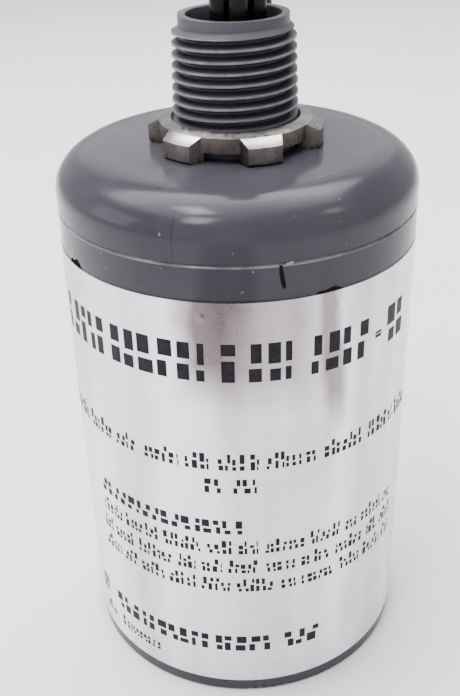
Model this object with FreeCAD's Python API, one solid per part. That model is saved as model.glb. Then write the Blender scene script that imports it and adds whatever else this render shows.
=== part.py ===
"""Whole house surge protector: a potted PVC can with a threaded conduit nipple and five leads.

Millimetres. +Z runs up the can's axis, the origin is the middle of the base, and the front of
the label faces -Y. Every function below makes one kind of piece; the pieces are written out as
parts/NAME.step at the end.
"""
import FreeCAD, Part
import math
import os
from FreeCAD import Vector

INCH = 25.4

# ---- driving dimensions -------------------------------------------------------------------
BODY_R = 1.25 * INCH            # 2.5 in can
CAN_WALL = 2.4
CAN_FLOOR = 2.6
CAN_EDGE_R = 0.5                # rounded bottom edge
CAN_RIM_BEVEL = 0.35            # broken outer edge of the rim, which shows at the seam
SEAM_Z = 91.7                   # top of the can
SEAM_GAP = 0.25                 # cement joint between can and cap
SEAM_RECESS = 0.3
CAP_WALL_Z = 94.9               # top of the cap's straight wall
CAP_TOP_Z = 101.2
CAP_SHOULDER = 7.9              # radial width of the rounded shoulder
CAP_THICK = 2.8
SPIGOT_Z = 84.7                 # lower end of the cap's spigot, inside the can
SPIGOT_PLAY = 0.05
LABEL_Z = (2.9, 85.6)
LABEL_THICK = 0.15
LABEL_GAP_DEG = 6.0             # where the wrapped label's ends nearly meet
LABEL_GAP_AT = 62.0             # polar angle of that gap, at the back

# 1/2 in NPT thread: 14 threads per inch, 1:16 taper on diameter
PITCH = INCH / 14
TAPER = 1 / 32                  # radius gained per length
PIPE_R = 0.840 * INCH / 2       # the pipe's outside, which tops the lower crests
BORE_R = 0.622 * INCH / 2
THREAD_DEPTH = 1.40
ROOT_R = 8.93                   # at the tip
NIPPLE_TOP_Z = 122.5
NIPPLE_LOW_Z = 88.0
TIP_LENGTH = 1.5                # plain lead-in ahead of the first thread
TIP_R = 9.2
THREAD_LENGTH = 19.6            # from the tip down to inside the locknut
THREAD_START = 0.0              # height of the helix's start, sets where the crests fall
FLANGE_R = 13.6
FLANGE_THICK = 2.0
BOSS_R = 14.6

# locknut: six lugs, dished, resting on the cap
NUT_PLAY = 0.06                 # radial clearance over the thread's crests
NUT_R = 15.1
NUT_HUB_R = 13.1
LUG_ROOT_HALF = 3.7             # half widths of a lug inside the hub and past its tip
LUG_TIP_HALF = 2.6
NUT_UNDERCUT = 1.7
NUT_OUTER_H = 3.1               # heights at the lugs' tips, the hub's edge and the bore
NUT_HUB_H = 4.2
NUT_INNER_H = 4.8
NUT_LUGS = 6
NUT_FIRST_LUG = -71.5           # polar angle of the lug right of the front

# varistor stack
STACK_R = 20.0
PLATE_R = 17.0
PLATE_T = 0.6
VARISTOR_T = 6.0
INSULATOR_T = 1.5
BASE_INSULATOR_T = 1.0
TAB_WIDTH = 5.0
TAB_R = 26.5
WIRE_R = 1.0
RISER_R = 24.0                  # radius at which the upright wires stand
RESIN_TOP_Z = 84.0
NIPPLE_SEAL_Z = 110.0

# fuses
FUSE_ORBIT = 14.0
FUSE_R = 4.5
FUSE_CAP_R = 5.0
FUSE_CAP_H = 5.0
FUSE_Z = (41.0, 62.0)
PHASE_ANGLES = (210.0, 330.0, 90.0)
NEUTRAL_ANGLE = 30.0
GROUND_ANGLE = 150.0

# leads: 12 AWG, each with its place in the nipple (x, y) and the top of its splice
LEAD_R = 1.65
COPPER_R = 1.03
STRIPPED = 11.0
SPLICE_R = 1.9
SPLICE_LENGTH = 7.5
MITRED = 1                      # makePipeShell's transition at a corner
UP = Vector(0, 0, 1)
ORIGIN = Vector(0, 0, 0)

# Each route is the line of the lead from its splice, up the nipple, over and down to the floor.
LEAD_ROUTES = {
    "black_lead_1": [(-2.4, -1.8, 83.5), (-2.4, -1.8, 126.0), (-1.3, 0.4, 160.8), (-0.5, 16.9, 177.1),
                     (0.1, 41.4, 176.9), (-1.0, 57.6, 157.3), (-2.3, 62.8, 121.8), (-3.9, 61.8, 72.9),
                     (-6.9, 64.2, 40.6), (-11.4, 76.4, 16.6), (-15.6, 97.0, 1.8), (-31.1, 127.7, 1.8),
                     (-31.1, 152.7, 1.8), (-12.9, 170.9, 1.8), (12.9, 170.9, 1.8), (31.1, 152.7, 1.8),
                     (30.7, 128.4, 1.8), (29.3, 102.9, 1.8)],
    "black_lead_2": [(1.2, -3.2, 83.5), (1.2, -3.2, 128.0), (3.2, -1.0, 161.5), (4.3, 16.3, 178.9),
                     (5.2, 42.2, 178.7), (4.6, 59.5, 158.2), (3.7, 64.8, 121.9), (2.8, 63.6, 72.9),
                     (0.6, 65.4, 41.0), (-3.0, 76.9, 17.0), (-6.2, 97.0, 1.8), (-24.0, 128.1, 1.8),
                     (-24.0, 150.0, 1.8), (-9.9, 164.1, 1.8), (9.9, 164.1, 1.8), (24.0, 150.0, 1.8),
                     (22.4, 118.6, 1.8), (19.6, 86.2, 1.8)],
    "black_lead_3": [(4.6, -0.4, 75.0), (4.6, -0.4, 125.0), (6.0, 1.9, 160.1), (7.2, 17.6, 175.4),
                     (8.2, 40.6, 175.0), (7.7, 55.8, 156.4), (7.1, 60.8, 121.7), (6.3, 60.0, 72.8),
                     (4.5, 63.0, 40.2), (1.2, 76.0, 16.1), (-1.6, 97.0, 1.8), (-20.3, 127.8, 1.8),
                     (-20.3, 148.3, 1.8), (-8.4, 160.3, 1.8), (8.5, 160.3, 1.8), (20.5, 148.3, 1.8),
                     (17.6, 107.4, 1.8), (11.8, 65.9, 1.8)],
    "white_lead": [(-2.4, 2.7, 75.0), (-2.4, 2.7, 124.0), (-1.8, 5.3, 158.6), (-1.3, 19.2, 171.5),
                   (-0.9, 38.8, 170.8), (-2.3, 51.7, 154.3), (-4.1, 56.5, 121.4), (-6.2, 56.0, 72.6),
                   (-9.9, 60.3, 39.2), (-15.1, 75.0, 15.0), (-20.2, 97.0, 1.8), (-34.6, 128.3, 1.8),
                   (-34.6, 154.5, 1.8), (-14.3, 174.8, 1.8), (14.3, 174.8, 1.8), (34.6, 154.5, 1.8),
                   (35.1, 127.9, 1.8), (34.6, 100.1, 1.8)],
    "green_lead": [(1.5, 3.5, 83.5), (1.5, 3.5, 127.0), (2.6, 6.1, 158.2), (3.5, 19.6, 170.4),
                   (4.1, 38.3, 169.8), (3.1, 50.7, 153.8), (1.9, 55.4, 121.3), (0.4, 54.9, 72.6),
                   (-2.5, 59.6, 39.0), (-6.8, 74.7, 14.8), (-10.9, 97.0, 1.8), (-27.4, 128.0, 1.8),
                   (-27.5, 151.4, 1.8), (-11.4, 167.5, 1.8), (11.4, 167.5, 1.8), (27.5, 151.4, 1.8),
                   (26.2, 113.7, 1.8), (23.5, 75.0, 1.8)],
}


# ---- helpers --------------------------------------------------------------------------------
def polar(radius, degrees, z=0.0):
    """A point at a radius and polar angle about the can's axis."""
    a = math.radians(degrees)
    return Vector(radius * math.cos(a), radius * math.sin(a), z)


def tube(r_in, r_out, z_low, z_high):
    """A plain ring between two radii and two heights."""
    ring = Part.makeCylinder(r_out, z_high - z_low, Vector(0, 0, z_low))
    return ring.cut(Part.makeCylinder(r_in, z_high - z_low, Vector(0, 0, z_low)))


def revolve(edges):
    """A solid of revolution about Z from a closed section of edges in the XZ plane."""
    face = Part.Face(Part.Wire(Part.__sortEdges__(edges)))
    return face.revolve(ORIGIN, UP, 360)


def lines(points):
    """Line edges through (radius, height) points, left open at the end."""
    corners = [Vector(r, 0, z) for r, z in points]
    return [Part.LineSegment(a, b).toShape() for a, b in zip(corners, corners[1:])]


def bent_wire(points, radius):
    """A stiff wire through the points, with mitred elbows."""
    ring = Part.Wire(Part.makeCircle(radius, points[0], points[1].sub(points[0])))
    return Part.makePolygon(points).makePipeShell([ring], True, True, MITRED)


# ---- shell ----------------------------------------------------------------------------------
def housing_can():
    """Closed-bottom can with a rounded lower edge and a bevelled rim."""
    body = Part.makeCylinder(BODY_R, SEAM_Z)
    low_edge = [e for e in body.Edges if abs(e.BoundBox.ZMax) < 1e-6 and e.Closed]
    body = body.makeFillet(CAN_EDGE_R, low_edge)
    rim = [e for e in body.Edges if abs(e.BoundBox.ZMin - SEAM_Z) < 1e-6 and e.Closed]
    body = body.makeChamfer(CAN_RIM_BEVEL, rim)
    hollow = Part.makeCylinder(BODY_R - CAN_WALL, SEAM_Z, Vector(0, 0, CAN_FLOOR))
    return body.cut(hollow)


def top_cap():
    """Cap with a rounded shoulder, a boss for the nipple and a spigot that enters the can."""
    low_z = SEAM_Z + SEAM_GAP
    spigot_r = BODY_R - CAN_WALL - SPIGOT_PLAY
    inner_r = spigot_r - CAP_THICK
    roof_z = CAP_TOP_Z - CAP_THICK
    flat_r = BODY_R - CAP_SHOULDER
    boss_z = NIPPLE_LOW_Z + FLANGE_THICK
    inner_edge_r = 4.0
    outline = lines([(flat_r, CAP_TOP_Z), (PIPE_R, CAP_TOP_Z), (PIPE_R, boss_z), (BOSS_R, boss_z),
                     (BOSS_R, roof_z), (inner_r - inner_edge_r, roof_z)])
    outline += lines([(inner_r, roof_z - inner_edge_r), (inner_r, SPIGOT_Z), (spigot_r, SPIGOT_Z),
                      (spigot_r, low_z), (BODY_R, low_z), (BODY_R, CAP_WALL_Z)])
    half = math.sqrt(0.5)
    inner_mid = Vector(inner_r - inner_edge_r * (1 - half), 0, roof_z - inner_edge_r * (1 - half))
    outline.append(Part.Arc(Vector(inner_r - inner_edge_r, 0, roof_z), inner_mid,
                            Vector(inner_r, 0, roof_z - inner_edge_r)).toShape())
    centre = Vector(flat_r, 0, CAP_WALL_Z)
    shoulder = Part.Ellipse(Vector(BODY_R, 0, CAP_WALL_Z), Vector(flat_r, 0, CAP_TOP_Z), centre)
    turns = [shoulder.parameter(Vector(BODY_R, 0, CAP_WALL_Z)),
             shoulder.parameter(Vector(flat_r, 0, CAP_TOP_Z))]
    outline.append(Part.Arc(shoulder, min(turns), max(turns)).toShape())
    return revolve(outline)


def cement_ring():
    """Solvent cement between the can's rim and the cap, just below the surface."""
    return tube(BODY_R - CAN_WALL, BODY_R - SEAM_RECESS, SEAM_Z, SEAM_Z + SEAM_GAP)


def foil_label():
    """Thin foil wrapped round the can, with its ends a few millimetres apart at the back."""
    low_z, high_z = LABEL_Z
    wrap = tube(BODY_R, BODY_R + LABEL_THICK, low_z, high_z)
    reach = 2 * BODY_R
    half_gap = LABEL_GAP_DEG / 2
    corners = [ORIGIN, polar(reach, LABEL_GAP_AT - half_gap), polar(reach, LABEL_GAP_AT + half_gap), ORIGIN]
    wedge = Part.Face(Part.makePolygon(corners)).extrude(Vector(0, 0, high_z + low_z))
    return wrap.cut(wedge)


def threaded_nipple():
    """Tapered 1/2 in conduit nipple, built tip down from z = 0 and then turned tip up."""
    length = NIPPLE_TOP_Z - NIPPLE_LOW_Z
    core = Part.makeCone(ROOT_R, ROOT_R + THREAD_LENGTH * TAPER, THREAD_LENGTH)
    helix = Part.makeLongHelix(PITCH, THREAD_LENGTH, ROOT_R, math.degrees(math.atan(TAPER)), False)
    base_half = 0.45 * PITCH
    crest_half = 0.07 * PITCH
    sink = 0.12
    section = [Vector(ROOT_R - sink, 0, -base_half), Vector(ROOT_R + THREAD_DEPTH, 0, -crest_half),
               Vector(ROOT_R + THREAD_DEPTH, 0, crest_half), Vector(ROOT_R - sink, 0, base_half)]
    section = Part.makePolygon(section + section[:1])
    ridge = Part.Wire(helix.Edges).makePipeShell([section], True, True)
    ridge.translate(Vector(0, 0, THREAD_START))
    chamfer_end = TIP_LENGTH + 1.0
    first_crest_r = ROOT_R + THREAD_DEPTH
    full_z = chamfer_end + (PIPE_R - first_crest_r) / TAPER
    envelope = revolve(lines([(0, 0), (TIP_R, 0), (TIP_R, TIP_LENGTH), (first_crest_r, chamfer_end),
                              (PIPE_R, full_z), (PIPE_R, THREAD_LENGTH), (0, THREAD_LENGTH), (0, 0)]))
    threaded = core.fuse(Part.makeCylinder(TIP_R, TIP_LENGTH + 0.4)).fuse(ridge).common(envelope)
    shank = Part.makeCylinder(PIPE_R, length - THREAD_LENGTH, Vector(0, 0, THREAD_LENGTH))
    flange = Part.makeCylinder(FLANGE_R, FLANGE_THICK, Vector(0, 0, length - FLANGE_THICK))
    nipple = threaded.fuse(shank).fuse(flange).cut(Part.makeCylinder(BORE_R, length))
    mouth_edge = 0.12
    nipple = nipple.cut(Part.makeCone(BORE_R + mouth_edge, BORE_R, mouth_edge))
    nipple.rotate(ORIGIN, Vector(1, 0, 0), 180)
    nipple.translate(Vector(0, 0, NIPPLE_TOP_Z))
    return nipple


def locknut():
    """Dished locknut: a conical hub over the thread and six tapering lugs that bear on the cap."""
    bore_r = PIPE_R + NUT_PLAY
    z0 = CAP_TOP_Z
    hub_z = z0 + NUT_UNDERCUT
    inner_z = z0 + NUT_INNER_H
    hub_edge_z = z0 + NUT_HUB_H
    outer_z = z0 + NUT_OUTER_H
    edge = 0.4
    fall = (inner_z - hub_edge_z) / (NUT_HUB_R - bore_r)
    hub = revolve(lines([(bore_r, hub_z), (NUT_HUB_R, hub_z), (NUT_HUB_R, hub_edge_z),
                         (bore_r + edge, inner_z - fall * edge), (bore_r, inner_z - 2 * edge),
                         (bore_r, hub_z)]))
    ring = revolve(lines([(NUT_HUB_R - edge, z0), (NUT_R - edge, z0), (NUT_R, z0 + edge), (NUT_R, outer_z),
                          (NUT_HUB_R, hub_edge_z), (NUT_HUB_R - edge, hub_edge_z + fall * edge),
                          (NUT_HUB_R - edge, z0)]))
    tip_reach = 16.0
    outline = [Vector(NUT_HUB_R - 1, -LUG_ROOT_HALF, z0), Vector(tip_reach, -LUG_TIP_HALF, z0),
               Vector(tip_reach, LUG_TIP_HALF, z0), Vector(NUT_HUB_R - 1, LUG_ROOT_HALF, z0)]
    wedge = Part.Face(Part.makePolygon(outline + outline[:1])).extrude(Vector(0, 0, 2 * NUT_INNER_H))
    nut = hub
    for i in range(NUT_LUGS):
        lug = wedge.common(ring)
        lug.rotate(ORIGIN, UP, NUT_FIRST_LUG + 360 / NUT_LUGS * i)
        nut = nut.fuse(lug)
    return nut


# ---- inside ---------------------------------------------------------------------------------
def electrode_plate(z, angle):
    """Round electrode with a soldering tab that reaches an upright wire."""
    disc = Part.makeCylinder(PLATE_R, PLATE_T, Vector(0, 0, z))
    tab = Part.makeBox(TAB_R - PLATE_R / 2, TAB_WIDTH, PLATE_T, Vector(PLATE_R / 2, -TAB_WIDTH / 2, z))
    tab.rotate(ORIGIN, UP, angle)
    return disc.fuse(tab).removeSplitter()


def varistor(z):
    """Zinc oxide disc."""
    return Part.makeCylinder(STACK_R, VARISTOR_T, Vector(0, 0, z))


def stack():
    """The varistor stack from the base up, and the height of each electrode's top."""
    order = [("ground_plate", GROUND_ANGLE), ("ground_varistor", None),
             ("neutral_plate_lower", NEUTRAL_ANGLE), ("phase_1_varistor", None),
             ("phase_1_plate", PHASE_ANGLES[0]), ("stack_insulator", None),
             ("phase_2_plate", PHASE_ANGLES[1]), ("phase_2_varistor", None),
             ("neutral_plate_upper", NEUTRAL_ANGLE), ("phase_3_varistor", None),
             ("phase_3_plate", PHASE_ANGLES[2])]
    z = CAN_FLOOR + BASE_INSULATOR_T
    pieces = {}
    tops = {}
    for name, angle in order:
        if angle is not None:
            pieces[name] = electrode_plate(z, angle)
            z += PLATE_T
        elif name == "stack_insulator":
            pieces[name] = Part.makeCylinder(STACK_R, INSULATOR_T, Vector(0, 0, z))
            z += INSULATOR_T
        else:
            pieces[name] = varistor(z)
            z += VARISTOR_T
        tops[name] = z
    return pieces, tops


def fuse_pieces(angle):
    """A phase's fuse: ceramic tube and its two end caps."""
    low_z, high_z = FUSE_Z
    at = polar(FUSE_ORBIT, angle, low_z)
    caps = []
    for z in (low_z, high_z - FUSE_CAP_H):
        cap = Part.makeCylinder(FUSE_CAP_R, FUSE_CAP_H, Vector(at.x, at.y, z))
        caps.append(cap)
    body = Part.makeCylinder(FUSE_R, high_z - low_z - 2 * FUSE_CAP_H, Vector(at.x, at.y, low_z + FUSE_CAP_H))
    return body, Part.makeCompound(caps)


def splice(route):
    """Crimped barrel under the start of a lead."""
    x, y, z = route[0]
    return Part.makeCylinder(SPLICE_R, SPLICE_LENGTH, Vector(x, y, z - SPLICE_LENGTH))


def wires(tops):
    """Bare wires: risers from plates to fuses, links to the splices, neutral and ground."""
    made = {}
    elbow_z = FUSE_Z[0] - 2.5
    link_heights = (FUSE_Z[1] + 1.6, FUSE_Z[1] + 3.9, FUSE_Z[1] + 1.6)
    for n, angle in enumerate(PHASE_ANGLES):
        plate_top = tops[f"phase_{n + 1}_plate"]
        foot = FUSE_Z[0]
        made[f"phase_{n + 1}_riser"] = bent_wire(
            [polar(RISER_R, angle, plate_top), polar(RISER_R, angle, elbow_z),
             polar(FUSE_ORBIT, angle, elbow_z), polar(FUSE_ORBIT, angle, foot)], WIRE_R)
        x, y, z = LEAD_ROUTES[f"black_lead_{n + 1}"][0]
        level = link_heights[n]
        made[f"phase_{n + 1}_link"] = bent_wire(
            [polar(FUSE_ORBIT, angle, FUSE_Z[1]), polar(FUSE_ORBIT, angle, level),
             Vector(x, y, level), Vector(x, y, z - SPLICE_LENGTH)], WIRE_R)
    for name, plate, angle, lead, level in (("neutral_wire", "neutral_plate_upper", NEUTRAL_ANGLE,
                                             "white_lead", FUSE_Z[1] - 3.0),
                                            ("ground_wire", "ground_plate", GROUND_ANGLE,
                                             "green_lead", FUSE_Z[1] + 4.0)):
        x, y, z = LEAD_ROUTES[lead][0]
        made[name] = bent_wire([polar(RISER_R, angle, tops[plate]), polar(RISER_R, angle, level),
                                Vector(x, y, level), Vector(x, y, z - SPLICE_LENGTH)], WIRE_R)
    low = tops["neutral_plate_lower"]
    high = tops["neutral_plate_upper"] - PLATE_T
    made["neutral_link"] = Part.makeCylinder(WIRE_R, high - low, polar(RISER_R, NEUTRAL_ANGLE, low))
    return made


# ---- leads ----------------------------------------------------------------------------------
def lead(name, route):
    """A lead as straight runs joined by tangent arcs; prints its length and smallest radius."""
    points = [Vector(*p) for p in route]
    edges = []
    start = points[0]
    radii = []
    for before, at, after in zip(points, points[1:], points[2:]):
        back = before.sub(at)
        ahead = after.sub(at)
        half_turn = (math.pi - back.getAngle(ahead)) / 2
        cut = 0.45 * min(back.Length, ahead.Length)
        radii.append(cut / math.tan(half_turn))
        back.normalize()
        ahead.normalize()
        enter = at + back * cut
        leave = at + ahead * cut
        inward = (back + ahead).normalize()
        middle = at + inward * (radii[-1] / math.cos(half_turn) - radii[-1])
        edges.append(Part.LineSegment(start, enter).toShape())
        edges.append(Part.Arc(enter, middle, leave).toShape())
        start = leave
    edges.append(Part.LineSegment(start, points[-1]).toShape())
    path = Part.Wire(edges)
    first = points[1].sub(points[0])
    ring = Part.Wire(Part.makeCircle(LEAD_R, points[0], first))
    solid = path.makePipeShell([ring], True, True)
    print(f"{name}: length {path.Length:.1f}, smallest radius {min(radii):.1f}, volume ratio",
          f"{solid.Volume / (math.pi * LEAD_R ** 2 * path.Length):.4f}")
    return solid


def copper_end(route):
    """The stripped conductor at a lead's free end."""
    last = Vector(*route[-1])
    way = last.sub(Vector(*route[-2]))
    return Part.makeCylinder(COPPER_R, STRIPPED, last, way)


# ---- assembly -------------------------------------------------------------------------------
def build():
    """Every node of the assembly by name."""
    nodes = {"housing_can": housing_can(), "top_cap": top_cap(), "cement_ring": cement_ring(),
             "foil_label": foil_label(), "threaded_nipple": threaded_nipple(), "locknut": locknut(),
             "base_insulator": Part.makeCylinder(BODY_R - CAN_WALL - SPIGOT_PLAY, BASE_INSULATOR_T,
                                                 Vector(0, 0, CAN_FLOOR))}
    inside, tops = stack()
    inside.update(wires(tops))
    for n, angle in enumerate(PHASE_ANGLES):
        inside[f"phase_{n + 1}_fuse_tube"], inside[f"phase_{n + 1}_fuse_caps"] = fuse_pieces(angle)
    leads = {name: lead(name, route) for name, route in LEAD_ROUTES.items()}
    for name, route in LEAD_ROUTES.items():
        inside[name.replace("lead", "splice")] = splice(route)
    nodes.update(inside)

    resin_z = CAN_FLOOR + BASE_INSULATOR_T
    resin = Part.makeCylinder(BODY_R - CAN_WALL, RESIN_TOP_Z - resin_z, Vector(0, 0, resin_z))
    buried = list(inside.values()) + list(leads.values())
    nodes["potting_resin"] = resin.cut(buried)
    seal = Part.makeCylinder(BORE_R, NIPPLE_SEAL_Z - NIPPLE_LOW_Z, Vector(0, 0, NIPPLE_LOW_Z))
    nodes["nipple_seal"] = seal.cut(list(leads.values()))
    nodes.update(leads)
    nodes["lead_copper_ends"] = Part.makeCompound([copper_end(r) for r in LEAD_ROUTES.values()])
    return nodes


os.makedirs("parts", exist_ok=True)
for node_name, node_shape in build().items():
    solids = node_shape.Solids
    good = node_shape.isValid() and solids
    print(f"{node_name}: {len(solids)} solid(s), {node_shape.Volume:.1f} mm3{'' if good else ' BAD'}")
    node_shape.exportStep(f"parts/{node_name}.step")
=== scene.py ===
"""Looks of a whole house surge protector: a grey PVC can with a foil label, a threaded nipple,
a zinc locknut and five leads. Metres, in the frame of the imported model."""
import bpy
import math
import random
from mathutils import Matrix, Vector


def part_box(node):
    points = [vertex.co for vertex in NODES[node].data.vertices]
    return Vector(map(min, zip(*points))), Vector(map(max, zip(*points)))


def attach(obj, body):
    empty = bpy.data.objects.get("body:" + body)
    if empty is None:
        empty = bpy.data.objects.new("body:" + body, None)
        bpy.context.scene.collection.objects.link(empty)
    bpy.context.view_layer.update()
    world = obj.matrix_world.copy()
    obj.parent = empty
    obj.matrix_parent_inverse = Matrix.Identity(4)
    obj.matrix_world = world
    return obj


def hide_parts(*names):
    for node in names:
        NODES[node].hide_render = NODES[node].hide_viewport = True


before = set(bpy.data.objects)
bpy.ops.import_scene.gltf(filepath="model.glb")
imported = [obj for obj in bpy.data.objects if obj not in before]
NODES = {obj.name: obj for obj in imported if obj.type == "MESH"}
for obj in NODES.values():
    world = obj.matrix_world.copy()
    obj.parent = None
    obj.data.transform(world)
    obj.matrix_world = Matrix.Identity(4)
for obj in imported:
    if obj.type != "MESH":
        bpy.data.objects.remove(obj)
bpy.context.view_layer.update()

MM = 0.001
BODY = "protector"

LABEL_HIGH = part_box("foil_label")[1][2]
LABEL_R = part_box("foil_label")[1][0]
CAN_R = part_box("housing_can")[1][0]
SEAM_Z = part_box("housing_can")[1][2]
CAP_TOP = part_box("top_cap")[1][2]
NIPPLE_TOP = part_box("threaded_nipple")[1][2]

PITCH = 25.4 * MM / 14          # the nipple's thread
THREAD_TAPER = 1 / 32
THREAD_ROOT_R = 8.93 * MM       # at the nipple's tip
BORE_R = 7.9 * MM
HUB_R = 13.1 * MM               # the locknut's hub, between its lugs

LEAD_DIAMETER = 3.3 * MM

CAMERA_PLACE = (0, -0.16053, 0.15136)
CAMERA_PITCH = math.radians(29.74)      # below the horizon
CAMERA_YAW = math.radians(-0.74)
CAMERA_ROLL = math.radians(-1.6)
CAMERA_LENS = 48.95
CAMERA_SENSOR = 36


def link(obj):
    """Puts an object in the scene."""
    bpy.context.collection.objects.link(obj)
    return obj


# ---- camera ---------------------------------------------------------------------------------
def make_camera():
    """The viewpoint: close, above the cap, looking about 30 degrees down."""
    ahead = Vector((math.sin(CAMERA_YAW) * math.cos(CAMERA_PITCH),
                    math.cos(CAMERA_YAW) * math.cos(CAMERA_PITCH), -math.sin(CAMERA_PITCH)))
    level = Vector((math.cos(CAMERA_YAW), -math.sin(CAMERA_YAW), 0))
    upward = level.cross(ahead)
    right = math.cos(CAMERA_ROLL) * level + math.sin(CAMERA_ROLL) * upward
    top = -math.sin(CAMERA_ROLL) * level + math.cos(CAMERA_ROLL) * upward
    data = bpy.data.cameras.new("camera")
    data.lens = CAMERA_LENS
    data.sensor_width = CAMERA_SENSOR
    data.clip_start = 0.01
    camera = link(bpy.data.objects.new("camera", data))
    turn = Matrix((right, top, -ahead)).transposed()
    camera.matrix_world = Matrix.Translation(CAMERA_PLACE) @ turn.to_4x4()
    bpy.context.scene.camera = camera


make_camera()

# ---- leads ----------------------------------------------------------------------------------
# Route of each lead in millimetres: from its splice, up the nipple, over, down to the floor and
# round a loop on it.
LEAD_ROUTES = {
    "black_lead_1": [(-2.4, -1.8, 83.5), (-2.4, -1.8, 126.0), (-1.6, 0.4, 160.8), (-0.5, 16.9, 177.1),
                     (0.1, 41.4, 176.9), (-1.0, 57.6, 157.3), (-2.3, 62.8, 121.8), (-3.9, 61.8, 72.9),
                     (-6.9, 64.2, 40.6), (-11.4, 76.4, 16.6), (-15.6, 97.0, 1.8), (-31.1, 127.7, 1.8),
                     (-31.1, 152.7, 1.8), (-12.9, 170.9, 1.8), (12.9, 170.9, 1.8), (31.1, 152.7, 1.8),
                     (30.7, 128.4, 1.8), (29.3, 102.9, 1.8)],
    "black_lead_2": [(1.2, -3.2, 83.5), (0.2, -3.1, 128.0), (2.6, -1.0, 161.5), (4.3, 16.3, 178.9),
                     (5.2, 42.2, 178.7), (4.6, 59.5, 158.2), (3.7, 64.8, 121.9), (2.8, 63.6, 72.9),
                     (0.6, 65.4, 41.0), (-3.0, 76.9, 17.0), (-6.2, 97.0, 1.8), (-24.0, 128.1, 1.8),
                     (-24.0, 150.0, 1.8), (-9.9, 164.1, 1.8), (9.9, 164.1, 1.8), (24.0, 150.0, 1.8),
                     (22.4, 118.6, 1.8), (19.6, 86.2, 1.8)],
    "black_lead_3": [(4.6, -0.4, 75.0), (3.1, -0.7, 125.0), (5.6, 1.9, 160.1), (7.2, 17.6, 175.4),
                     (8.2, 40.6, 175.0), (7.7, 55.8, 156.4), (7.1, 60.8, 121.7), (6.3, 60.0, 72.8),
                     (4.5, 63.0, 40.2), (1.2, 76.0, 16.1), (-1.6, 97.0, 1.8), (-20.3, 127.8, 1.8),
                     (-20.3, 148.3, 1.8), (-8.4, 160.3, 1.8), (8.5, 160.3, 1.8), (20.5, 148.3, 1.8),
                     (17.6, 107.4, 1.8), (11.8, 65.9, 1.8)],
    "white_lead": [(-2.4, 2.7, 75.0), (-2.4, 2.7, 124.0), (-1.8, 5.3, 158.6), (-1.3, 19.2, 171.5),
                   (-0.9, 38.8, 170.8), (-2.3, 51.7, 154.3), (-4.1, 56.5, 121.4), (-6.2, 56.0, 72.6),
                   (-9.9, 60.3, 39.2), (-15.1, 75.0, 15.0), (-20.2, 97.0, 1.8), (-34.6, 128.3, 1.8),
                   (-34.6, 154.5, 1.8), (-14.3, 174.8, 1.8), (14.3, 174.8, 1.8), (34.6, 154.5, 1.8),
                   (35.1, 127.9, 1.8), (34.6, 100.1, 1.8)],
    "green_lead": [(1.5, 3.5, 83.5), (1.0, 3.5, 127.0), (2.2, 6.1, 158.2), (3.5, 19.6, 170.4),
                   (4.1, 38.3, 169.8), (3.1, 50.7, 153.8), (1.9, 55.4, 121.3), (0.4, 54.9, 72.6),
                   (-2.5, 59.6, 39.0), (-6.8, 74.7, 14.8), (-10.9, 97.0, 1.8), (-27.4, 128.0, 1.8),
                   (-27.5, 151.4, 1.8), (-11.4, 167.5, 1.8), (11.4, 167.5, 1.8), (27.5, 151.4, 1.8),
                   (26.2, 113.7, 1.8), (23.5, 75.0, 1.8)],
}


def make_lead(name, route):
    """One insulated lead as a smooth spline along its route."""
    curve = bpy.data.curves.new(name + "_curve", "CURVE")
    curve.dimensions = "3D"
    curve.bevel_depth = 1.0     # a multiple of each point's radius, which is the lead's own
    curve.bevel_resolution = 6
    curve.resolution_u = 12
    curve.use_fill_caps = True
    spline = curve.splines.new("NURBS")
    spline.points.add(len(route) - 1)
    for point, place in zip(spline.points, route):
        point.co = [c * MM for c in place] + [1]
        point.radius = LEAD_DIAMETER / 2
    spline.order_u = 3
    spline.use_endpoint_u = True
    lead = link(bpy.data.objects.new(name + "_insulation", curve))
    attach(lead, BODY)
    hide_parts(name)
    return lead


leads = {name: make_lead(name, route) for name, route in LEAD_ROUTES.items()}


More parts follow.
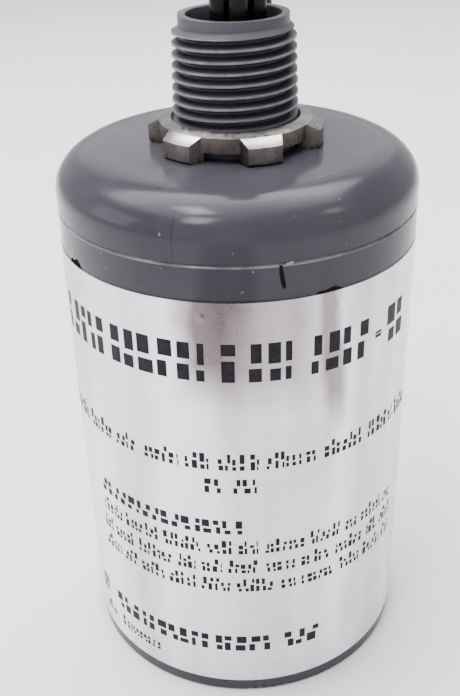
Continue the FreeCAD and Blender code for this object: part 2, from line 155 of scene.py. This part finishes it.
# ---- materials ------------------------------------------------------------------------------
class Shader:
    """A node material with its Principled shader and a few short ways to wire patterns into it."""

    def __init__(self, name, roughness=0.4, metallic=0.0, **sockets):
        self.material = bpy.data.materials.new(name)
        self.material.use_nodes = True
        self.tree = self.material.node_tree
        self.bsdf = self.tree.nodes["Principled BSDF"]
        self.bsdf.inputs["Roughness"].default_value = roughness
        self.bsdf.inputs["Metallic"].default_value = metallic
        for socket, value in sockets.items():
            self.bsdf.inputs[socket.replace("_", " ")].default_value = value
        self.place = self.node("ShaderNodeTexCoord").outputs["Object"]

    def node(self, kind, **settings):
        made = self.tree.nodes.new(kind)
        for key, value in settings.items():
            setattr(made, key, value)
        return made

    def wire(self, source, target):
        self.tree.links.new(source, target)

    def stretched(self, scale):
        """Object coordinates scaled by a different amount along each axis."""
        mapping = self.node("ShaderNodeMapping")
        mapping.inputs["Scale"].default_value = scale
        self.wire(self.place, mapping.inputs["Vector"])
        return mapping.outputs["Vector"]

    def noise(self, scale, detail=4.0, roughness=0.55, coords=None):
        made = self.node("ShaderNodeTexNoise")
        made.inputs["Scale"].default_value = scale
        made.inputs["Detail"].default_value = detail
        made.inputs["Roughness"].default_value = roughness
        self.wire(coords or self.place, made.inputs["Vector"])
        return made.outputs["Fac"]

    def ramp(self, source, low, high, out_low=0.0, out_high=1.0):
        """Maps low..high of a value to out_low..out_high, clamped."""
        made = self.node("ShaderNodeMapRange", clamp=True)
        made.inputs["From Min"].default_value = low
        made.inputs["From Max"].default_value = high
        made.inputs["To Min"].default_value = out_low
        made.inputs["To Max"].default_value = out_high
        self.wire(source, made.inputs["Value"])
        return made.outputs["Result"]

    def maths(self, operation, a, b=None):
        made = self.node("ShaderNodeMath", operation=operation)
        for socket, value in zip(made.inputs, (a, b)):
            if value is None:
                continue
            if isinstance(value, (int, float)):
                socket.default_value = value
            else:
                self.wire(value, socket)
        return made.outputs["Value"]

    def height(self):
        """Height above the base."""
        split = self.node("ShaderNodeSeparateXYZ")
        self.wire(self.place, split.inputs["Vector"])
        return split.outputs["Z"]

    def radius(self):
        """Distance from the can's axis."""
        split = self.node("ShaderNodeSeparateXYZ")
        self.wire(self.place, split.inputs["Vector"])
        across = self.maths("POWER", split.outputs["X"], 2.0)
        along = self.maths("POWER", split.outputs["Y"], 2.0)
        return self.maths("SQRT", self.maths("ADD", across, along))

    def angle(self):
        """Angle round the can in radians, 0 at the front and + to the right."""
        split = self.node("ShaderNodeSeparateXYZ")
        self.wire(self.place, split.inputs["Vector"])
        ahead = self.maths("MULTIPLY", split.outputs["Y"], -1.0)
        return self.maths("ARCTAN2", split.outputs["X"], ahead)

    def wrapped(self, around, up):
        """Coordinates that run round the can: angle from the front times around, height times up."""
        join = self.node("ShaderNodeCombineXYZ")
        self.wire(self.maths("MULTIPLY", self.angle(), around), join.inputs["X"])
        self.wire(self.maths("MULTIPLY", self.height(), up), join.inputs["Y"])
        return join.outputs["Vector"]

    def tilt(self):
        """1 on faces that look up, 0 on upright ones, -1 on faces that look down."""
        split = self.node("ShaderNodeSeparateXYZ")
        self.wire(self.node("ShaderNodeNewGeometry").outputs["True Normal"], split.inputs["Vector"])
        return split.outputs["Z"]

    def near(self, value, centre, half, fade):
        """1 where a value is within half of centre, fading to 0 over fade more."""
        off = self.maths("ABSOLUTE", self.maths("SUBTRACT", value, centre))
        return self.ramp(off, half, half + fade, 1.0, 0.0)

    def blend(self, factor, low, high):
        """Mixes two colours, or a colour over the colour output given as low."""
        made = self.node("ShaderNodeMix", data_type="RGBA")
        self.wire(factor, made.inputs["Factor"])
        for socket, value in ((made.inputs[6], low), (made.inputs[7], high)):
            if isinstance(value, tuple):
                socket.default_value = (*value, 1)
            else:
                self.wire(value, socket)
        return made.outputs[2]

    def colour(self, source):
        self.wire(source, self.bsdf.inputs["Base Color"])

    def rough(self, source):
        self.wire(source, self.bsdf.inputs["Roughness"])

    def bump(self, *layers):
        """Stacks bump layers, each (height value, distance in metres, strength)."""
        normal = None
        for value, distance, strength in layers:
            made = self.node("ShaderNodeBump")
            made.inputs["Distance"].default_value = distance
            made.inputs["Strength"].default_value = strength
            self.wire(value, made.inputs["Height"])
            if normal:
                self.wire(normal, made.inputs["Normal"])
            normal = made.outputs["Normal"]
        self.wire(normal, self.bsdf.inputs["Normal"])


def thread_rise(s):
    """Distance out from the thread's root."""
    depth = s.maths("SUBTRACT", NIPPLE_TOP, s.height())
    root = s.maths("ADD", s.maths("MULTIPLY", depth, THREAD_TAPER), THREAD_ROOT_R)
    return s.maths("SUBTRACT", s.radius(), root)


def painted_thread_shade(s):
    """Painted shade: 1 in the thread's roots below the first crest, under its flanks and down the bore, 0
    on crests and tip.
    """
    depth = s.maths("SUBTRACT", NIPPLE_TOP, s.height())
    hollow = s.ramp(thread_rise(s), 0.7 * MM, 1.25 * MM, 1.0, 0.0)
    under = s.ramp(s.tilt(), -0.55, -0.25, 1.0, 0.0)
    hollow = s.maths("MAXIMUM", hollow, under)
    wound = s.maths("ADD", depth, s.maths("MULTIPLY", s.angle(), PITCH / (2 * math.pi)))
    first = 1.25 * PITCH
    wound = s.ramp(wound, first + 0.1 * MM, first + 0.5 * MM)
    bore = s.maths("MULTIPLY", s.ramp(s.radius(), BORE_R + 0.05 * MM, BORE_R + 0.15 * MM, 1.0, 0.0),
                   s.ramp(depth, 0.3 * MM, 2.5 * MM))
    return s.maths("MAXIMUM", s.maths("MULTIPLY", hollow, wound), bore)


MOULD_LINE = math.radians(-18.4)        # a faint line down the cap's wall


def grey_pvc(name, dark, light, gloss, threaded=False):
    """Moulded grey PVC: faintly mottled, with pale and dark specks; on the thread, painted shade in the
    roots and the bore and painted highlights on the crests, and elsewhere a painted highlight under the
    seam, a mould line and a darker line along the label's top edge."""
    s = Shader(name, roughness=0.22, Specular_IOR_Level=gloss)
    base = s.blend(s.ramp(s.noise(45, 3), 0.35, 0.7), dark, light)
    specks = s.ramp(s.noise(900, 2, 0.4), 0.755, 0.785, 0.0, 0.45)
    base = s.blend(specks, base, (0.30, 0.29, 0.32))
    pits = s.ramp(s.noise(620, 2, 0.4, s.stretched((1.0, 1.3, 1.0))), 0.735, 0.77, 0.0, 0.7)
    base = s.blend(pits, base, (0.012, 0.012, 0.014))
    if threaded:
        # Painted highlight: the crests lightened where their rounded tops would catch the light.
        worn_edges_and_crest_highlight = s.maths("MULTIPLY", s.ramp(thread_rise(s), 1.2 * MM, 1.36 * MM),
                       s.ramp(s.noise(420, 3, 0.6), 0.3, 0.6, 0.35, 1.0))
        base = s.blend(worn_edges_and_crest_highlight, base, (0.25, 0.24, 0.28))
        # Painted shade in the thread's roots, under its flanks and down the bore.
        base = s.blend(s.maths("MULTIPLY", painted_thread_shade(s), 0.93), base, (0.030, 0.026, 0.034))
    else:
        mould_line = s.near(s.angle(), MOULD_LINE, 0.003, 0.004)
        wall = s.maths("MULTIPLY", s.ramp(s.height(), SEAM_Z, SEAM_Z + MM),
                       s.ramp(s.height(), CAP_TOP - 3 * MM, CAP_TOP - 0.5 * MM, 0.4, 0.0))
        base = s.blend(s.maths("MULTIPLY", mould_line, wall), base, (0.02, 0.018, 0.024))
        # Painted highlight: a pale band just under the seam, broken up by noise.
        rim = s.near(s.height(), SEAM_Z - 0.15 * MM, 0.2 * MM, 0.15 * MM)
        painted_seam_highlight = s.maths("MULTIPLY", rim, s.ramp(s.noise(120, 3, 0.6), 0.38, 0.6, 0.25, 0.8))
        base = s.blend(painted_seam_highlight, base, (0.30, 0.28, 0.31))
        # A darker line just above the label's top edge.
        dark_edge_line = s.maths("MULTIPLY", s.near(s.height(), LABEL_HIGH + 0.1 * MM, 0.1 * MM, 0.35 * MM),
                       s.ramp(s.noise(90, 3, 0.6), 0.35, 0.6, 0.3, 0.9))
        base = s.blend(dark_edge_line, base, (0.022, 0.014, 0.013))
    s.colour(base)
    smooth, dull = (0.30, 0.45) if threaded else (0.12, 0.24)
    s.rough(s.ramp(s.noise(160, 4, 0.6), 0.3, 0.75, smooth, dull))
    s.bump((s.noise(260, 2, 0.5), 0.12 * MM, 0.08), (s.noise(2600, 2, 0.6), 0.02 * MM, 0.25))
    return s.material


# Painted reflections, brown bands down the foil: middle, half width and fade in degrees, foot, head, depth.
PAINTED_REFLECTION_BANDS = [(-62, 7, 12, 50 * MM, 90 * MM, 0.22), (-40, 3, 9, 10 * MM, 90 * MM, 0.16),
               (-9, 4.5, 9, 66 * MM, 90 * MM, 0.97), (8, 8, 12, 64 * MM, 90 * MM, 0.6),
               (28.2, 2.2, 3.2, 58 * MM, 90 * MM, 0.8), (40, 1.5, 5, 5 * MM, 90 * MM, 0.25)]
REFLECTION_BROWN = (0.20, 0.155, 0.165)
DENT_ANGLE = math.radians(-11.2)
DENT_Z = LABEL_HIGH - 2.6 * MM


def label_foil():
    """Satin aluminium foil: rolled grain, soft upright streaks and brown bands of painted reflection, a
    dent and ripples.
    """
    s = Shader("label_foil", roughness=0.3, metallic=0.82, Anisotropic=0.35)
    # Painted reflection: soft upright streaks of lighter and darker foil.
    painted_streaks = s.noise(2.6, 2, 0.45, s.wrapped(1.0, 2.0))
    tint = s.blend(s.ramp(painted_streaks, 0.38, 0.62), (0.66, 0.60, 0.64), (0.90, 0.86, 0.94))
    tint = s.blend(s.ramp(s.noise(90, 4, 0.6), 0.45, 0.75, 0.0, 0.25), tint, (0.95, 0.93, 0.98))
    wander = s.maths("MULTIPLY", s.maths("SUBTRACT", s.noise(60, 3, 0.6), 0.5), 0.25)
    around = s.maths("ADD", s.angle(), wander)
    # Painted reflection: each band darkens the foil towards brown.
    for middle, half, fade, foot, head, depth in PAINTED_REFLECTION_BANDS:
        above = s.ramp(s.height(), foot, foot + 9 * MM)
        below = s.ramp(s.height(), head, head + MM, 1.0, 0.0)
        band = s.near(around, math.radians(middle), math.radians(half), math.radians(fade))
        band = s.maths("MULTIPLY", band, s.maths("MULTIPLY", above, below))
        tint = s.blend(s.maths("MULTIPLY", band, depth), tint, REFLECTION_BROWN)
    spots = s.ramp(s.noise(420, 2, 0.4), 0.78, 0.80, 0.0, 0.3)
    tint = s.blend(spots, tint, (0.25, 0.22, 0.22))
    s.colour(tint)
    grain = s.noise(40, 3, 0.6, s.wrapped(1.0, 900.0))
    s.rough(s.ramp(s.noise(14, 4, 0.6, s.wrapped(1.0, 30.0)), 0.3, 0.7, 0.24, 0.38))
    dent = s.maths("MULTIPLY", s.near(s.angle(), DENT_ANGLE, 0.0, 0.025),
                   s.near(s.height(), DENT_Z, 0.0, 0.9 * MM))
    s.bump((dent, 0.3 * MM, 0.5), (s.noise(30, 2, 0.4), 0.9 * MM, 0.17),
           (s.noise(120, 2, 0.4), 0.25 * MM, 0.07), (grain, 0.012 * MM, 0.35))
    return s.material


# The painted highlight along the hub's edge: middle, half width and fade.
HUB_HIGHLIGHT_SPAN = [math.radians(degrees) for degrees in (-4, 20, 30)]


def zinc():
    """Zinc-plated steel: grey and stained, brown and scored on the notches' walls, with a painted highlight
    along the hub's front edge."""
    s = Shader("zinc", roughness=0.3, metallic=1.0)
    base = s.blend(s.ramp(s.noise(260, 4, 0.6), 0.38, 0.66), (0.15, 0.145, 0.145), (0.30, 0.285, 0.265))
    fine = s.ramp(s.noise(1300, 4, 0.7), 0.5, 0.68, 0.0, 0.55)
    base = s.blend(fine, base, (0.10, 0.092, 0.088))
    inner = s.ramp(s.radius(), HUB_R + 0.2 * MM, HUB_R + 0.9 * MM, 1.0, 0.35)
    upright = s.maths("SUBTRACT", 1.0, s.maths("ABSOLUTE", s.tilt()))
    wall = s.maths("MULTIPLY", s.ramp(upright, 0.5, 0.75), inner)
    scores = s.noise(1500, 3, 0.6, s.stretched((1.0, 1.0, 0.15)))
    base = s.blend(s.maths("MULTIPLY", wall, s.ramp(scores, 0.3, 0.6, 0.95, 0.35)), base,
                   (0.150, 0.108, 0.082))
    # Painted highlight along the front of the hub's top edge.
    front = s.near(s.angle(), *HUB_HIGHLIGHT_SPAN)
    painted_hub_highlight = s.near(s.radius(), HUB_R - 0.2 * MM, 0.9 * MM, 0.9 * MM)
    painted_hub_highlight = s.maths("MULTIPLY", s.maths("MULTIPLY", painted_hub_highlight, front), s.ramp(s.tilt(), 0.75, 0.9))
    painted_hub_highlight = s.maths("MULTIPLY", painted_hub_highlight, s.ramp(s.noise(500, 3, 0.5), 0.3, 0.45, 0.6, 1.0))
    base = s.blend(painted_hub_highlight, base, (1.0, 0.95, 0.85))
    # Painted shade: darker brown over the lowest millimetre, next to the cap.
    low = s.ramp(s.height(), CAP_TOP + 0.1 * MM, CAP_TOP + 1.0 * MM, 0.8, 0.0)
    base = s.blend(s.maths("MULTIPLY", low, s.ramp(s.noise(700, 4, 0.6), 0.38, 0.58)), base,
                   (0.05, 0.033, 0.025))
    stains = s.ramp(s.noise(420, 4, 0.65), 0.60, 0.72, 0.0, 0.6)
    base = s.blend(stains, base, (0.13, 0.10, 0.085))
    s.colour(base)
    s.rough(s.ramp(s.noise(800, 4, 0.6), 0.3, 0.7, 0.24, 0.44))
    scratches = s.noise(900, 3, 0.6, s.stretched((0.2, 2.0, 1.0)))
    s.bump((s.noise(350, 3, 0.5), 0.08 * MM, 0.3), (scores, 0.05 * MM, 0.4), (scratches, 0.03 * MM, 0.35))
    return s.material


def insulation(name, dark, light):
    """Nylon-jacketed wire insulation: glossy, with faint drawn streaks."""
    s = Shader(name, roughness=0.2, Specular_IOR_Level=0.22)
    s.colour(s.blend(s.ramp(s.noise(180, 3), 0.35, 0.7), dark, light))
    s.rough(s.ramp(s.noise(320, 3), 0.3, 0.7, 0.14, 0.30))
    s.bump((s.noise(400, 3, 0.5), 0.05 * MM, 0.2))
    return s.material


def plain_metal(name, dark, light, low_rough, high_rough):
    """Drawn or rolled metal with patchy tarnish."""
    s = Shader(name, roughness=0.35, metallic=1.0)
    s.colour(s.blend(s.ramp(s.noise(380, 4, 0.6), 0.35, 0.7), dark, light))
    s.rough(s.ramp(s.noise(700, 3), 0.3, 0.7, low_rough, high_rough))
    s.bump((s.noise(1500, 3, 0.6), 0.03 * MM, 0.3))
    return s.material


def mineral(name, dark, light, roughness, grain):
    """Dull cast, fired or pressed stuff with a visible grain."""
    s = Shader(name, roughness=roughness)
    s.colour(s.blend(s.ramp(s.noise(grain, 5, 0.65), 0.35, 0.68), dark, light))
    s.rough(s.ramp(s.noise(grain * 1.7, 3), 0.3, 0.7, roughness * 0.8, min(1.0, roughness * 1.2)))
    s.bump((s.noise(grain * 2, 4, 0.6), 0.08 * MM, 0.4))
    return s.material


def dress(material, *names):
    """Gives CAD nodes a material."""
    for name in names:
        mesh_slots = NODES[name].material_slots
        if not mesh_slots:
            NODES[name].data.materials.append(material)
        for held in mesh_slots:
            held.material = material


BLACK = insulation("black_insulation", (0.0025, 0.0025, 0.003), (0.006, 0.006, 0.007))
WHITE = insulation("white_insulation", (0.66, 0.66, 0.63), (0.78, 0.78, 0.76))
GREEN = insulation("green_insulation", (0.010, 0.13, 0.03), (0.018, 0.20, 0.05))
PVC = grey_pvc("grey_pvc", (0.039, 0.036, 0.046), (0.054, 0.050, 0.063), 0.18)
THREADED_PVC = grey_pvc("threaded_pvc", (0.066, 0.062, 0.077), (0.084, 0.079, 0.096), 0.1,
                        threaded=True)
FOIL = label_foil()
ZINC = zinc()
TINNED = plain_metal("tinned_copper", (0.55, 0.52, 0.48), (0.80, 0.79, 0.76), 0.22, 0.45)
COPPER = plain_metal("bare_copper", (0.62, 0.24, 0.12), (0.90, 0.50, 0.32), 0.18, 0.38)
RESIN = mineral("potting_resin", (0.006, 0.006, 0.007), (0.016, 0.016, 0.018), 0.3, 180)
CEMENT = mineral("dried_cement", (0.012, 0.011, 0.012), (0.05, 0.045, 0.045), 0.6, 500)
OXIDE = mineral("zinc_oxide", (0.05, 0.055, 0.065), (0.10, 0.105, 0.12), 0.55, 700)
FIBRE = mineral("fibre_board", (0.20, 0.10, 0.045), (0.36, 0.21, 0.11), 0.7, 300)
CERAMIC = mineral("fuse_ceramic", (0.70, 0.67, 0.60), (0.82, 0.80, 0.74), 0.35, 120)

dress(PVC, "housing_can", "top_cap")
dress(THREADED_PVC, "threaded_nipple")
dress(FOIL, "foil_label")
dress(ZINC, "locknut")
dress(CEMENT, "cement_ring")
dress(RESIN, "potting_resin", "nipple_seal")
dress(FIBRE, "base_insulator", "stack_insulator")
dress(COPPER, "lead_copper_ends")
dress(OXIDE, *[n for n in NODES if n.endswith("varistor")])
dress(CERAMIC, *[n for n in NODES if n.endswith("fuse_tube")])
dress(TINNED, *[n for n in NODES if n.endswith(("_riser", "_link", "_splice", "_fuse_caps", "_wire"))])
dress(TINNED, *[n for n in NODES if "_plate" in n or "_splice_" in n])

worn_edges_and_crest_highlight = NODES["locknut"].modifiers.new("worn_edges", "BEVEL")
worn_edges_and_crest_highlight.width = 0.28 * MM
worn_edges_and_crest_highlight.segments = 3
worn_edges_and_crest_highlight.limit_method = "ANGLE"
worn_edges_and_crest_highlight.angle_limit = math.radians(35)

for name, lead in leads.items():
    covering = BLACK if name.startswith("black") else WHITE if name.startswith("white") else GREEN
    lead.data.materials.append(covering)


# ---- print on the label ---------------------------------------------------------------------
INK_LIFT = 0.02 * MM            # how far ink, dried glue and the painted shade above the label stand off what they are on


def on_can(radius, degrees, z):
    """A point that far from the can's axis; 0 degrees is the front and + is to the right."""
    a = math.radians(degrees)
    return (radius * math.sin(a), -radius * math.cos(a), z)


def add_strip(verts, faces, pairs):
    """Adds a strip of faces between pairs of points."""
    first = len(verts)
    for pair in pairs:
        verts.extend(pair)
    for k in range(first, len(verts) - 2, 2):
        faces.append((k, k + 2, k + 3, k + 1))


def curved_patch(verts, faces, degrees_low, degrees_high, z_low, z_high, radius):
    """Adds a thin patch on a cylinder."""
    steps = max(1, round((degrees_high - degrees_low) / 2.5))
    around = [degrees_low + (degrees_high - degrees_low) * i / steps for i in range(steps + 1)]
    add_strip(verts, faces, [(on_can(radius, at, z_low), on_can(radius, at, z_high)) for at in around])


def print_row(verts, faces, rng, spans, baseline, height, cell, gap, tall=0.0, fill=(0.5, 0.9)):
    """A row of blank print: each span is a run of block pairs, none of them a letter. Spans, cell and
    gap are in degrees, baseline and height in millimetres. Some pairs are taller, by the share tall,
    and each block takes up a share of its cell between the two of fill."""
    radius = LABEL_R + INK_LIFT
    for low, high in spans:
        at = low
        while at < high - cell * 0.4:
            width = min(cell * rng.uniform(0.75, 1.25), high - at)
            top = height * (1 + (tall if rng.random() < 0.3 else 0.0))
            split = top * rng.uniform(0.35, 0.65)
            half_slit = 0.07 * top
            for z_low, z_high in ((0.0, split - half_slit), (split + half_slit, top)):
                part = width * rng.uniform(*fill)
                start = at + rng.choice((0.0, width - part))
                curved_patch(verts, faces, start, start + part, (baseline + z_low) * MM,
                             (baseline + z_high) * MM, radius)
            at += width + gap


def words(rng, low, high, shortest, longest, space):
    """Splits a stretch of degrees into spans of uneven length."""
    spans = []
    at = low
    while at < high - shortest:
        end = min(at + rng.uniform(shortest, longest), high)
        spans.append((at, end))
        at = end + space
    return spans


def mesh_piece(name, verts, faces, material, smooth=False):
    """A mesh object that rides on the can."""
    mesh = bpy.data.meshes.new(name)
    mesh.from_pydata(verts, [], faces)
    mesh.update()
    for face in mesh.polygons:
        face.use_smooth = smooth
    mesh.materials.append(material)
    piece = link(bpy.data.objects.new(name, mesh))
    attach(piece, BODY)
    return piece


def label_print():
    """Rows of blank cells laid out like a rating label: a bold row, a line, and small blocks."""
    rng = random.Random(7)
    verts = []
    faces = []
    heading = [(-71, -10.6), (-5.7, 15.7), (20.8, 43.6), (50.9, 63.4)]
    print_row(verts, faces, rng, heading, 71.4, 7.0, 4.4, 1.4, fill=(0.6, 1.0))
    print_row(verts, faces, rng, [(44.9, 49.3)], 73.8, 1.2, 5.0, 1.3)
    print_row(verts, faces, rng, words(rng, -78, 80, 8, 17, 2.1), 53.9, 2.3, 1.7, 0.5, 0.45)
    print_row(verts, faces, rng, [(-12.2, -5.7), (-3.2, 4.1)], 49.0, 3.0, 2.5, 0.6)
    print_row(verts, faces, rng, [(-56.2, -0.7)], 39.9, 3.0, 2.7, 0.6)
    for row in range(3):
        spans = words(rng, -57.2, 62, 5, 14, 2.0)
        print_row(verts, faces, rng, spans, 35.3 - 4.5 * row, 2.1, 1.6, 0.45, 0.45)
    print_row(verts, faces, rng, [(-68, -59), (-54.3, 8), (13, 26.9)], 11.0, 3.8, 3.6, 0.8)
    print_row(verts, faces, rng, [(-64, -57), (-52, -32.4)], 6.3, 1.9, 1.6, 0.45, 0.4)
    s = Shader("label_ink", roughness=0.5, Specular_IOR_Level=0.15)
    s.colour(s.blend(s.ramp(s.noise(700, 4, 0.6), 0.35, 0.7), (0.004, 0.003, 0.006), (0.014, 0.012, 0.017)))
    s.bump((s.noise(1800, 3), 0.01 * MM, 0.3))
    piece = mesh_piece("label_print", verts, faces, s.material)


label_print()


# ---- small marks ----------------------------------------------------------------------------
TICK_ANGLE = 11.5               # degrees, at the seam
TICK_LEAN = 1.1                 # degrees
TICK_TOP = 91.5 * MM
TICK_LENGTH = 4.1 * MM
TICK_TAPER = 0.7                # the share of its length after which it narrows to a round end


def felt_tick():
    """A short felt-tip stroke from the seam down, where the cap was lined up with the can."""
    verts = []
    faces = []
    pairs = []
    steps = 14
    for i in range(steps + 1):
        t = i / steps
        z = TICK_TOP - TICK_LENGTH * t
        centre = TICK_ANGLE + TICK_LEAN * t ** 1.5
        half = 0.45 + 0.2 * min(1.0, 3 * t)
        past = max(0.0, (t - TICK_TAPER) / (1 - TICK_TAPER))
        half *= math.sqrt(max(0.0, 1 - past ** 2))
        pairs.append((on_can(CAN_R + INK_LIFT, centre - half, z),
                      on_can(CAN_R + INK_LIFT, centre + half, z)))
    add_strip(verts, faces, pairs)
    s = Shader("felt_ink", roughness=0.6, Specular_IOR_Level=0.05)
    s.colour(s.blend(s.ramp(s.noise(900, 4), 0.4, 0.7), (0.003, 0.003, 0.004), (0.010, 0.010, 0.012)))
    piece = mesh_piece("felt_tick", verts, faces, s.material)


BURR_FROM = 12.6                # degrees
BURR_ACROSS = 2.7               # degrees
BURR_HALF = 0.5 * MM            # of its height
BURR_OUT = 0.38 * MM
BURR_SUNK = 0.15 * MM


def seam_burr():
    """A bead of cement squeezed out of the seam beside the tick."""
    verts = []
    faces = []
    around = 18
    across = 6
    for i in range(around + 1):
        t = i / around
        size = math.sin(math.pi * t) ** 0.7 * (0.75 + 0.25 * math.sin(7 * t + 1))
        middle = SEAM_Z + (-0.25 + 0.35 * t) * MM
        for j in range(across + 1):
            turn = math.pi * j / across
            radius = CAN_R - BURR_SUNK + BURR_OUT * size * math.sin(turn)
            z = middle - BURR_HALF * size * math.cos(turn)
            verts.append(on_can(radius, BURR_FROM + BURR_ACROSS * t, z))
    ring = across + 1
    for i in range(around):
        for j in range(across):
            k = i * ring + j
            faces.append((k, k + ring, k + ring + 1, k + 1))
    s = Shader("squeezed_cement", roughness=0.35)
    s.colour(s.blend(s.ramp(s.noise(900, 4), 0.35, 0.7), (0.16, 0.15, 0.17), (0.30, 0.28, 0.31)))
    s.bump((s.noise(1800, 3), 0.04 * MM, 0.4))
    piece = mesh_piece("seam_burr", verts, faces, s.material, smooth=True)


# Dark marks just above the label, dried glue at the upper left and painted shade at the upper right: first
# and last degree, and height.
EDGE_GLUE_AND_SHADE = [(-63, -54.5, 1.5 * MM), (21.5, 31, 0.9 * MM)]


def edge_glue_and_shade():
    """Dark marks just above the label: dried glue at its upper left and painted shade at its upper right.
    """
    verts = []
    faces = []
    steps = 10
    for low, high, tall in EDGE_GLUE_AND_SHADE:
        pairs = []
        for i in range(steps + 1):
            t = i / steps
            at = low + (high - low) * t
            rise = tall * math.sin(math.pi * t) ** 0.6 * (0.75 + 0.25 * math.cos(9 * t))
            pairs.append((on_can(CAN_R + INK_LIFT, at, LABEL_HIGH - 0.2 * MM),
                          on_can(CAN_R + INK_LIFT, at, LABEL_HIGH + rise)))
        add_strip(verts, faces, pairs)
    s = Shader("dried_glue_and_shade", roughness=0.9, Specular_IOR_Level=0.0)
    s.colour(s.blend(s.ramp(s.noise(900, 4), 0.35, 0.7), (0.006, 0.004, 0.004), (0.022, 0.014, 0.013)))
    piece = mesh_piece("edge_glue_and_shade", verts, faces, s.material)


felt_tick()
seam_burr()
edge_glue_and_shade()


# ---- room -----------------------------------------------------------------------------------
FLOOR_FLAT = 1.0                # radius of the flat floor
FLOOR_BEND = 0.5                # radius of the curve up to the wall
WALL_TOP = 1.0


def make_floor():
    """Plain pale floor that curves up into a low round wall, the same from every side."""
    bends = [math.pi / 2 * i / 10 for i in range(11)]
    profile = [(FLOOR_FLAT + FLOOR_BEND * math.sin(b), FLOOR_BEND - FLOOR_BEND * math.cos(b))
               for b in bends]
    profile.append((FLOOR_FLAT + FLOOR_BEND, WALL_TOP))
    around = 96
    verts = []
    for radius, z in profile:
        for k in range(around):
            turn = 2 * math.pi * k / around
            verts.append((radius * math.cos(turn), radius * math.sin(turn), z))
    faces = [tuple(range(around))]
    for i in range(len(profile) - 1):
        for k in range(around):
            low = i * around
            high = low + around
            after = (k + 1) % around
            faces.append((low + k, low + after, high + after, high + k))
    mesh = bpy.data.meshes.new("floor")
    mesh.from_pydata(verts, [], faces)
    for face in mesh.polygons[1:]:
        face.use_smooth = True
    s = Shader("floor", roughness=0.7)
    s.colour(s.blend(s.ramp(s.noise(6, 3), 0.3, 0.7), (0.86, 0.86, 0.87), (0.89, 0.89, 0.90)))
    mesh.materials.append(s.material)
    link(bpy.data.objects.new("floor", mesh))


def soft_light(name, place, target, size, power, colour):
    """A soft box of the given sides and power, aimed at a point."""
    data = bpy.data.lights.new(name, "AREA")
    data.shape = "RECTANGLE"
    data.size, data.size_y = size
    data.energy = power
    data.color = colour
    light = link(bpy.data.objects.new(name, data))
    light.location = place
    light.rotation_euler = (Vector(target) - Vector(place)).to_track_quat("-Z", "Y").to_euler()


def dark_card(name, corners):
    """A brown card lying on the floor, seen only in reflections, where it darkens the foil and can."""
    mesh = bpy.data.meshes.new(name)
    mesh.from_pydata([(x, y, 0.5 * MM) for x, y in corners], [], [(0, 1, 2, 3)])
    s = Shader(name, roughness=0.9, Specular_IOR_Level=0.0)
    s.colour(s.blend(s.ramp(s.noise(12, 3), 0.3, 0.7), (0.05, 0.034, 0.032), (0.10, 0.075, 0.07)))
    mesh.materials.append(s.material)
    card = link(bpy.data.objects.new(name, mesh))
    card.visible_camera = False
    card.visible_diffuse = False
    card.visible_shadow = False


ROOM_COLOUR = (0.92, 0.93, 1.0, 1)
ROOM_STRENGTH = 0.28
WHITE_LIGHT = (1, 1, 1)
WARM_LIGHT = (1, 0.8, 0.72)

# Soft boxes overhead that share their back edge: where each ends towards the front, and its
# strength.
OVERHEAD_X = -0.08
OVERHEAD_Z = 0.80
OVERHEAD_WIDE = 1.1
OVERHEAD_BACK = 0.54
OVERHEAD_STEPS = [(0.20, 3.4), (0.02, 2.6), (-0.16, 2.2), (-0.34, 2.0)]
OVERHEAD_TARGET = (0, 0, 0.06)

# The other soft boxes: name, place, target, sides, power and colour.
SOFT_BOXES = [
    ("upper_pane", (-0.19, -0.05, 0.78), (-0.005, -0.028, 0.1), (0.22, 0.13), 2.2, WHITE_LIGHT),
    ("lower_pane", (-0.27, -0.41, 0.78), (-0.005, -0.03, 0.1), (0.17, 0.24), 2.6, WHITE_LIGHT),
    ("lamp", (0.72, -0.22, 0.78), (0.014, -0.027, 0.1), (0.14, 0.2), 0.8, WARM_LIGHT),
    ("back", (0.0, 0.70, 0.42), (0, 0, 0.1), (0.7, 0.35), 0.55, WHITE_LIGHT),
    ("left", (-0.75, -0.10, 0.35), (0, 0, 0.06), (0.4, 0.4), 1.5, WHITE_LIGHT),
]

FRONT_CARD = [(-0.09, -0.17), (-0.09, -0.60), (0.035, -0.60), (0.035, -0.17)]
SIDE_CARD = [(0.068, -0.064), (0.150, -0.110), (0.154, -0.103), (0.072, -0.057)]


def make_light():
    """Dim pale surround, soft boxes overhead that add up towards the back, and smaller ones."""
    world = bpy.data.worlds.new("world")
    world.use_nodes = True
    background = world.node_tree.nodes["Background"]
    background.inputs["Color"].default_value = ROOM_COLOUR
    background.inputs["Strength"].default_value = ROOM_STRENGTH
    bpy.context.scene.world = world
    for i, (front, strength) in enumerate(OVERHEAD_STEPS):
        deep = OVERHEAD_BACK - front
        place = (OVERHEAD_X, front + deep / 2, OVERHEAD_Z)
        power = strength * math.pi * OVERHEAD_WIDE * deep
        soft_light(f"overhead_{i}", place, OVERHEAD_TARGET, (OVERHEAD_WIDE, deep), power, WHITE_LIGHT)
    for box in SOFT_BOXES:
        soft_light(*box)


make_floor()
make_light()
dark_card("front_card", FRONT_CARD)
dark_card("side_card", SIDE_CARD)
